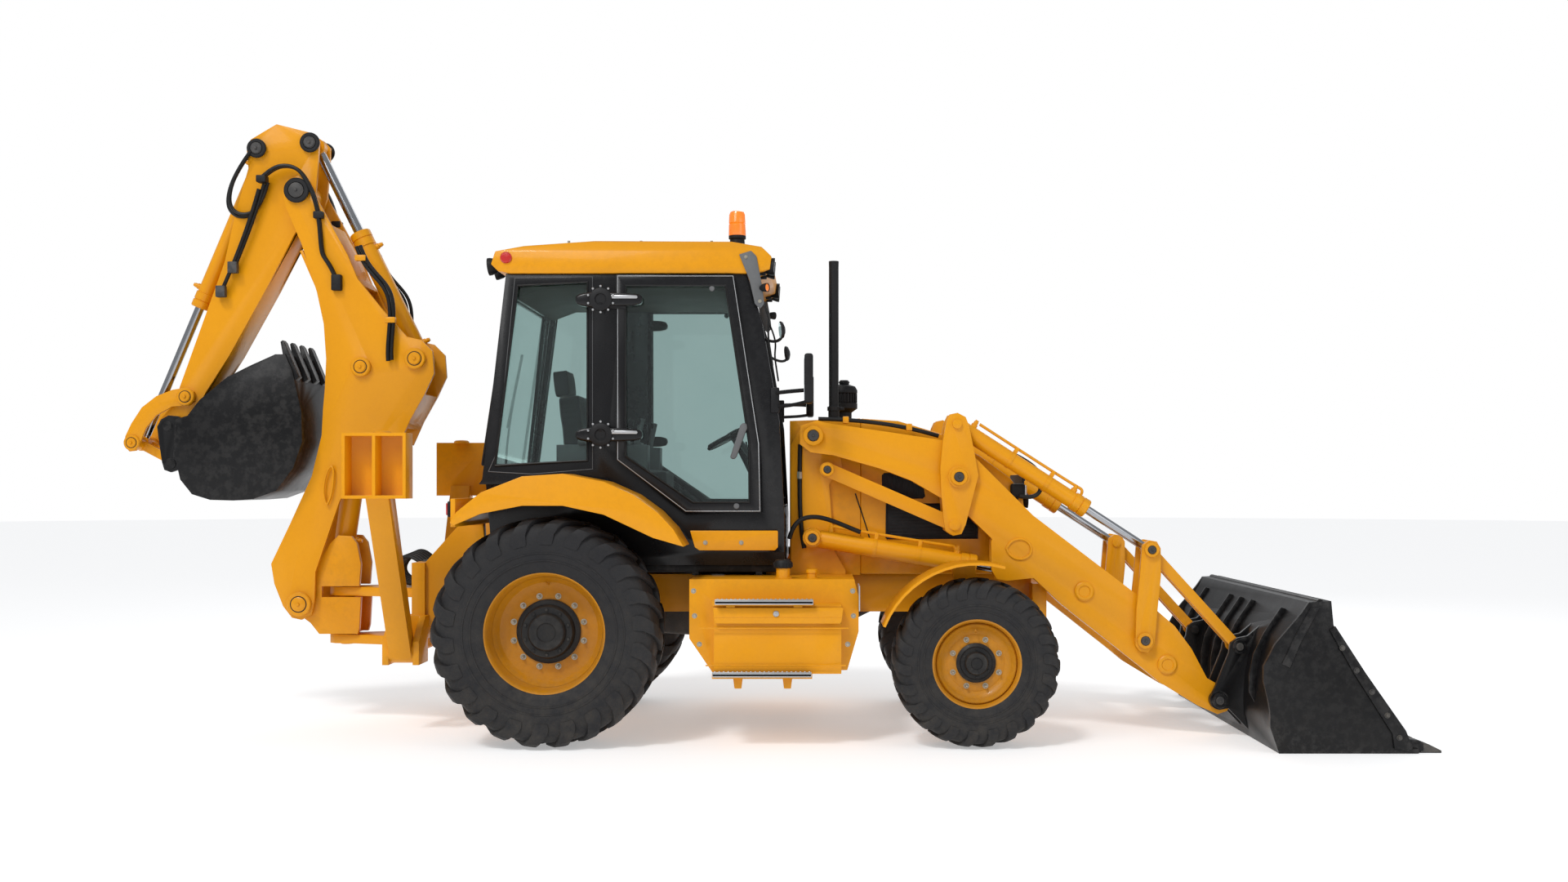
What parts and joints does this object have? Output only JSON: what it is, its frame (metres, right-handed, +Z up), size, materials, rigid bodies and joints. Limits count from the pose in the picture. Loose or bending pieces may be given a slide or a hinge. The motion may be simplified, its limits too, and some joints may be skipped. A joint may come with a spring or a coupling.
{
  "type": "backhoe loader",
  "caption": "Wheeled loader tractor with a glazed cab, front bucket on parallel-lift arms, and a folded swinging digging arm with stabilizer legs at the back.",
  "frame": {"origin": "on the ground under the middle of the machine as folded for the road", "axes": "+X towards the front bucket, +Y to the operator's left, +Z up"},
  "size_m": [7.815, 2.38, 3.756],
  "materials": {
    "yellow_paint": "gloss machine paint",
    "black_paint": "satin",
    "tyre_rubber": "matt",
    "rim_paint": "gloss",
    "glass": "tinted",
    "cab_paint": "satin",
    "trim_plastic": "grained",
    "seat_cloth": "woven",
    "engine_iron": "painted",
    "rod_chrome": "polished",
    "bucket_black": "satin, worn edges"
  },
  "bodies": {
    "chassis": {"main_frame": "yellow_paint", "front_axle": "black_paint", "side_boxes": "yellow_paint", "engine_block": "engine_iron", "rear_cowl": "yellow_paint", "cab_frame": "cab_paint", "cab_roof": "yellow_paint", "windshield": "glass", "rear_window": "glass", "side_window_left": "glass", "side_window_right": "glass", "rear_fenders": "yellow_paint", "operator_station": "trim_plastic", "seat_cushions": "seat_cloth"},
    "hood": {"hood": "yellow_paint"},
    "door_left": {"door_left": "cab_paint", "door_glass_left": "glass"},
    "door_right": {"door_right": "cab_paint", "door_glass_right": "glass"},
    "wheel_rear_left": {"tyre_rear_left": "tyre_rubber", "rim_rear_left": "rim_paint"},
    "wheel_rear_right": {"tyre_rear_right": "tyre_rubber", "rim_rear_right": "rim_paint"},
    "wheel_front_left": {"tyre_front_left": "tyre_rubber", "rim_front_left": "rim_paint"},
    "wheel_front_right": {"tyre_front_right": "tyre_rubber", "rim_front_right": "rim_paint"},
    "knuckle_left": {"knuckle_left": "yellow_paint"},
    "knuckle_right": {"knuckle_right": "yellow_paint"},
    "loader_arms": {"loader_arms": "yellow_paint"},
    "knee_levers": {"knee_lever_left": "yellow_paint", "knee_lever_right": "yellow_paint"},
    "level_links": {"level_link_left": "yellow_paint", "level_link_right": "yellow_paint"},
    "lift_barrels": {"lift_barrel_left": "yellow_paint", "lift_barrel_right": "yellow_paint"},
    "lift_rods": {"lift_rod_left": "rod_chrome", "lift_rod_right": "rod_chrome"},
    "tilt_levers": {"tilt_levers": "yellow_paint"},
    "push_links": {"push_link_left": "yellow_paint", "push_link_right": "yellow_paint"},
    "tilt_barrels": {"tilt_barrel_left": "yellow_paint", "tilt_barrel_right": "yellow_paint"},
    "tilt_rods": {"tilt_rod_left": "rod_chrome", "tilt_rod_right": "rod_chrome"},
    "loader_bucket": {"loader_bucket": "bucket_black"},
    "swing_post": {"swing_post": "yellow_paint"},
    "boom": {"boom": "yellow_paint"},
    "boom_barrel": {"boom_barrel": "yellow_paint"},
    "boom_rod": {"boom_rod": "rod_chrome"},
    "dipper": {"dipper": "yellow_paint"},
    "dipper_barrel": {"dipper_barrel": "yellow_paint"},
    "dipper_rod": {"dipper_rod": "rod_chrome"},
    "bucket_barrel": {"bucket_barrel": "yellow_paint"},
    "bucket_rod": {"bucket_rod": "rod_chrome"},
    "bucket_lever": {"bucket_lever": "yellow_paint"},
    "bucket_link": {"bucket_link": "yellow_paint"},
    "backhoe_bucket": {"backhoe_bucket": "bucket_black"},
    "stabilizer_left": {"stabilizer_left": "yellow_paint"},
    "stabilizer_right": {"stabilizer_right": "yellow_paint"}
  },
  "joints": [
    {"name": "wheel_rear_left_spin", "type": "hinge", "parent": "chassis", "child": "wheel_rear_left", "pos_m": [-1.112, 0.89, 0.657], "axis": [0, 1, 0], "continuous": true},
    {"name": "steer_left", "type": "hinge", "parent": "chassis", "child": "knuckle_left", "pos_m": [1.333, 0.7, 0.483], "axis": [0, 0, 1], "range_deg": [-36, 36]},
    {"name": "wheel_front_left_spin", "type": "hinge", "parent": "knuckle_left", "child": "wheel_front_left", "pos_m": [1.333, 0.925, 0.483], "axis": [0, 1, 0], "continuous": true},
    {"name": "door_left_hinge", "type": "hinge", "parent": "chassis", "child": "door_left", "pos_m": [-0.835, 0.76, 2.18], "axis": [0, 0, 1], "range_deg": [0, 15]},
    {"name": "stabilizer_left_swing", "type": "hinge", "parent": "chassis", "child": "stabilizer_left", "pos_m": [-2.06, 0.52, 0.49], "axis": [-1, 0, 0], "range_deg": [0, 109]},
    {"name": "wheel_rear_right_spin", "type": "hinge", "parent": "chassis", "child": "wheel_rear_right", "pos_m": [-1.112, -0.89, 0.657], "axis": [0, 1, 0], "continuous": true},
    {"name": "steer_right", "type": "hinge", "parent": "chassis", "child": "knuckle_right", "pos_m": [1.333, -0.7, 0.483], "axis": [0, 0, 1], "range_deg": [-36.5, 36.5]},
    {"name": "wheel_front_right_spin", "type": "hinge", "parent": "knuckle_right", "child": "wheel_front_right", "pos_m": [1.333, -0.925, 0.483], "axis": [0, 1, 0], "continuous": true},
    {"name": "door_right_hinge", "type": "hinge", "parent": "chassis", "child": "door_right", "pos_m": [-0.835, -0.76, 2.18], "axis": [0, 0, -1], "range_deg": [0, 15]},
    {"name": "stabilizer_right_swing", "type": "hinge", "parent": "chassis", "child": "stabilizer_right", "pos_m": [-2.06, -0.52, 0.49], "axis": [1, 0, 0], "range_deg": [0, 109]},
    {"name": "hood_hinge", "type": "hinge", "parent": "chassis", "child": "hood", "pos_m": [0.6905, 0, 1.9], "axis": [0, -1, 0], "range_deg": [0, 50]},
    {"name": "arm_lift", "type": "hinge", "parent": "chassis", "child": "loader_arms", "pos_m": [0.405, 0, 1.79], "axis": [0, -1, 0], "range_deg": [-3, 66]},
    {"name": "knee_pivot", "type": "hinge", "parent": "loader_arms", "child": "knee_levers", "pos_m": [1.269, 0, 1.544], "axis": [0, -1, 0], "range_deg": [-49.69, 2.74]},
    {"name": "level_link_pivot", "type": "hinge", "parent": "chassis", "child": "level_links", "pos_m": [0.489, 0, 1.588], "axis": [0, -1, 0], "range_deg": [-3.75, 72.03]},
    {"name": "lift_barrel_pivot", "type": "hinge", "parent": "chassis", "child": "lift_barrels", "pos_m": [0.4, 0, 1.181], "axis": [0, -1, 0], "range_deg": [-3.1, 57.8]},
    {"name": "lift_rod_slide", "type": "slide", "parent": "lift_barrels", "child": "lift_rods", "axis": [0.9861, 0, -0.1661], "range_m": [-0.0335, 0.6319]},
    {"name": "tilt_barrel_pivot", "type": "hinge", "parent": "knee_levers", "child": "tilt_barrels", "pos_m": [1.259, 0, 1.858], "axis": [0, -1, 0], "range_deg": [-2.63, 47.33]},
    {"name": "bucket_tilt", "type": "hinge", "parent": "loader_arms", "child": "loader_bucket", "pos_m": [2.815, 0, 0.219], "axis": [0, 1, 0], "range_deg": [-30, 111]},
    {"name": "tilt_lever_pivot", "type": "hinge", "parent": "loader_arms", "child": "tilt_levers", "pos_m": [2.373, 0, 0.573], "axis": [0, 1, 0], "range_deg": [-18.62, 67.55]},
    {"name": "push_link_pivot", "type": "hinge", "parent": "loader_bucket", "child": "push_links", "pos_m": [2.932, 0, 0.538], "axis": [0, 1, 0], "range_deg": [-83.25, 22.86]},
    {"name": "tilt_rod_slide", "type": "slide", "parent": "tilt_barrels", "child": "tilt_rods", "axis": [0.8396, 0, -0.5432], "range_m": [-0.166, 0.6005]},
    {"name": "boom_swing", "type": "hinge", "parent": "chassis", "child": "swing_post", "pos_m": [-2.552, 0, 0.675], "axis": [0, 0, 1], "range_deg": [-90, 90]},
    {"name": "boom_lift", "type": "hinge", "parent": "swing_post", "child": "boom", "pos_m": [-2.795, 0, 0.754], "axis": [0, -1, 0], "range_deg": [0, 115]},
    {"name": "boom_barrel_pivot", "type": "hinge", "parent": "swing_post", "child": "boom_barrel", "pos_m": [-2.58, 0, 1.05], "axis": [0, -1, 0], "range_deg": [-0.5, 117.08]},
    {"name": "boom_rod_slide", "type": "slide", "parent": "boom_barrel", "child": "boom_rod", "axis": [0.1417, 0, 0.9899], "range_m": [-0.005, 0.6208]},
    {"name": "dipper_swing", "type": "hinge", "parent": "boom", "child": "dipper", "pos_m": [-2.81, 0, 3.329], "axis": [0, 1, 0], "range_deg": [0, 105]},
    {"name": "dipper_barrel_pivot", "type": "hinge", "parent": "boom", "child": "dipper_barrel", "pos_m": [-2.074, 0, 2.282], "axis": [0, 1, 0], "range_deg": [-1.12, 0.5]},
    {"name": "dipper_rod_slide", "type": "slide", "parent": "dipper_barrel", "child": "dipper_rod", "axis": [-0.4424, 0, 0.8968], "range_m": [-0.5037, 0.005]},
    {"name": "bucket_curl", "type": "hinge", "parent": "dipper", "child": "backhoe_bucket", "pos_m": [-3.625, 0, 1.863], "axis": [0, 1, 0], "range_deg": [0, 150]},
    {"name": "bucket_lever_pivot", "type": "hinge", "parent": "dipper", "child": "bucket_lever", "pos_m": [-3.516, 0, 2.047], "axis": [0, 1, 0], "range_deg": [-0.5, 77.66]},
    {"name": "bucket_link_pivot", "type": "hinge", "parent": "bucket_lever", "child": "bucket_link", "pos_m": [-3.85, 0, 1.76], "axis": [0, 1, 0], "range_deg": [-39.25, 0.5]},
    {"name": "bucket_barrel_pivot", "type": "hinge", "parent": "dipper", "child": "bucket_barrel", "pos_m": [-3.075, 0, 3.6], "axis": [0, 1, 0], "range_deg": [-0.5, 9.28]},
    {"name": "bucket_rod_slide", "type": "slide", "parent": "bucket_barrel", "child": "bucket_rod", "axis": [-0.3882, 0, -0.9216], "range_m": [-0.4852, 0.005]}
  ],
  "couplings": [
    {"joint": "steer_right", "follows": "steer_left", "ratio": 1},
    {"joint": "knee_pivot", "follows": "arm_lift", "ratio": -0.74533},
    {"joint": "level_link_pivot", "follows": "arm_lift", "ratio": 1.0837},
    {"joint": "lift_barrel_pivot", "follows": "arm_lift", "ratio": 0.86813},
    {"joint": "lift_rod_slide", "follows": "arm_lift", "m_per_rad": 0.54424},
    {"joint": "tilt_barrel_pivot", "follows": "arm_lift", "ratio": 0.70956},
    {"joint": "tilt_lever_pivot", "follows": "bucket_tilt", "ratio": 0.60409},
    {"joint": "push_link_pivot", "follows": "bucket_tilt", "ratio": -0.74546},
    {"joint": "tilt_rod_slide", "follows": "bucket_tilt", "m_per_rad": 0.3074},
    {"joint": "boom_barrel_pivot", "follows": "boom_lift", "ratio": 1.0138},
    {"joint": "boom_rod_slide", "follows": "boom_lift", "m_per_rad": 0.30678},
    {"joint": "dipper_barrel_pivot", "follows": "dipper_swing", "ratio": -0.005869},
    {"joint": "dipper_rod_slide", "follows": "dipper_swing", "m_per_rad": -0.27215},
    {"joint": "bucket_lever_pivot", "follows": "bucket_curl", "ratio": 0.51438},
    {"joint": "bucket_link_pivot", "follows": "bucket_curl", "ratio": -0.25836},
    {"joint": "bucket_barrel_pivot", "follows": "bucket_curl", "ratio": 0.058555},
    {"joint": "bucket_rod_slide", "follows": "bucket_curl", "m_per_rad": -0.18344}
  ]
}
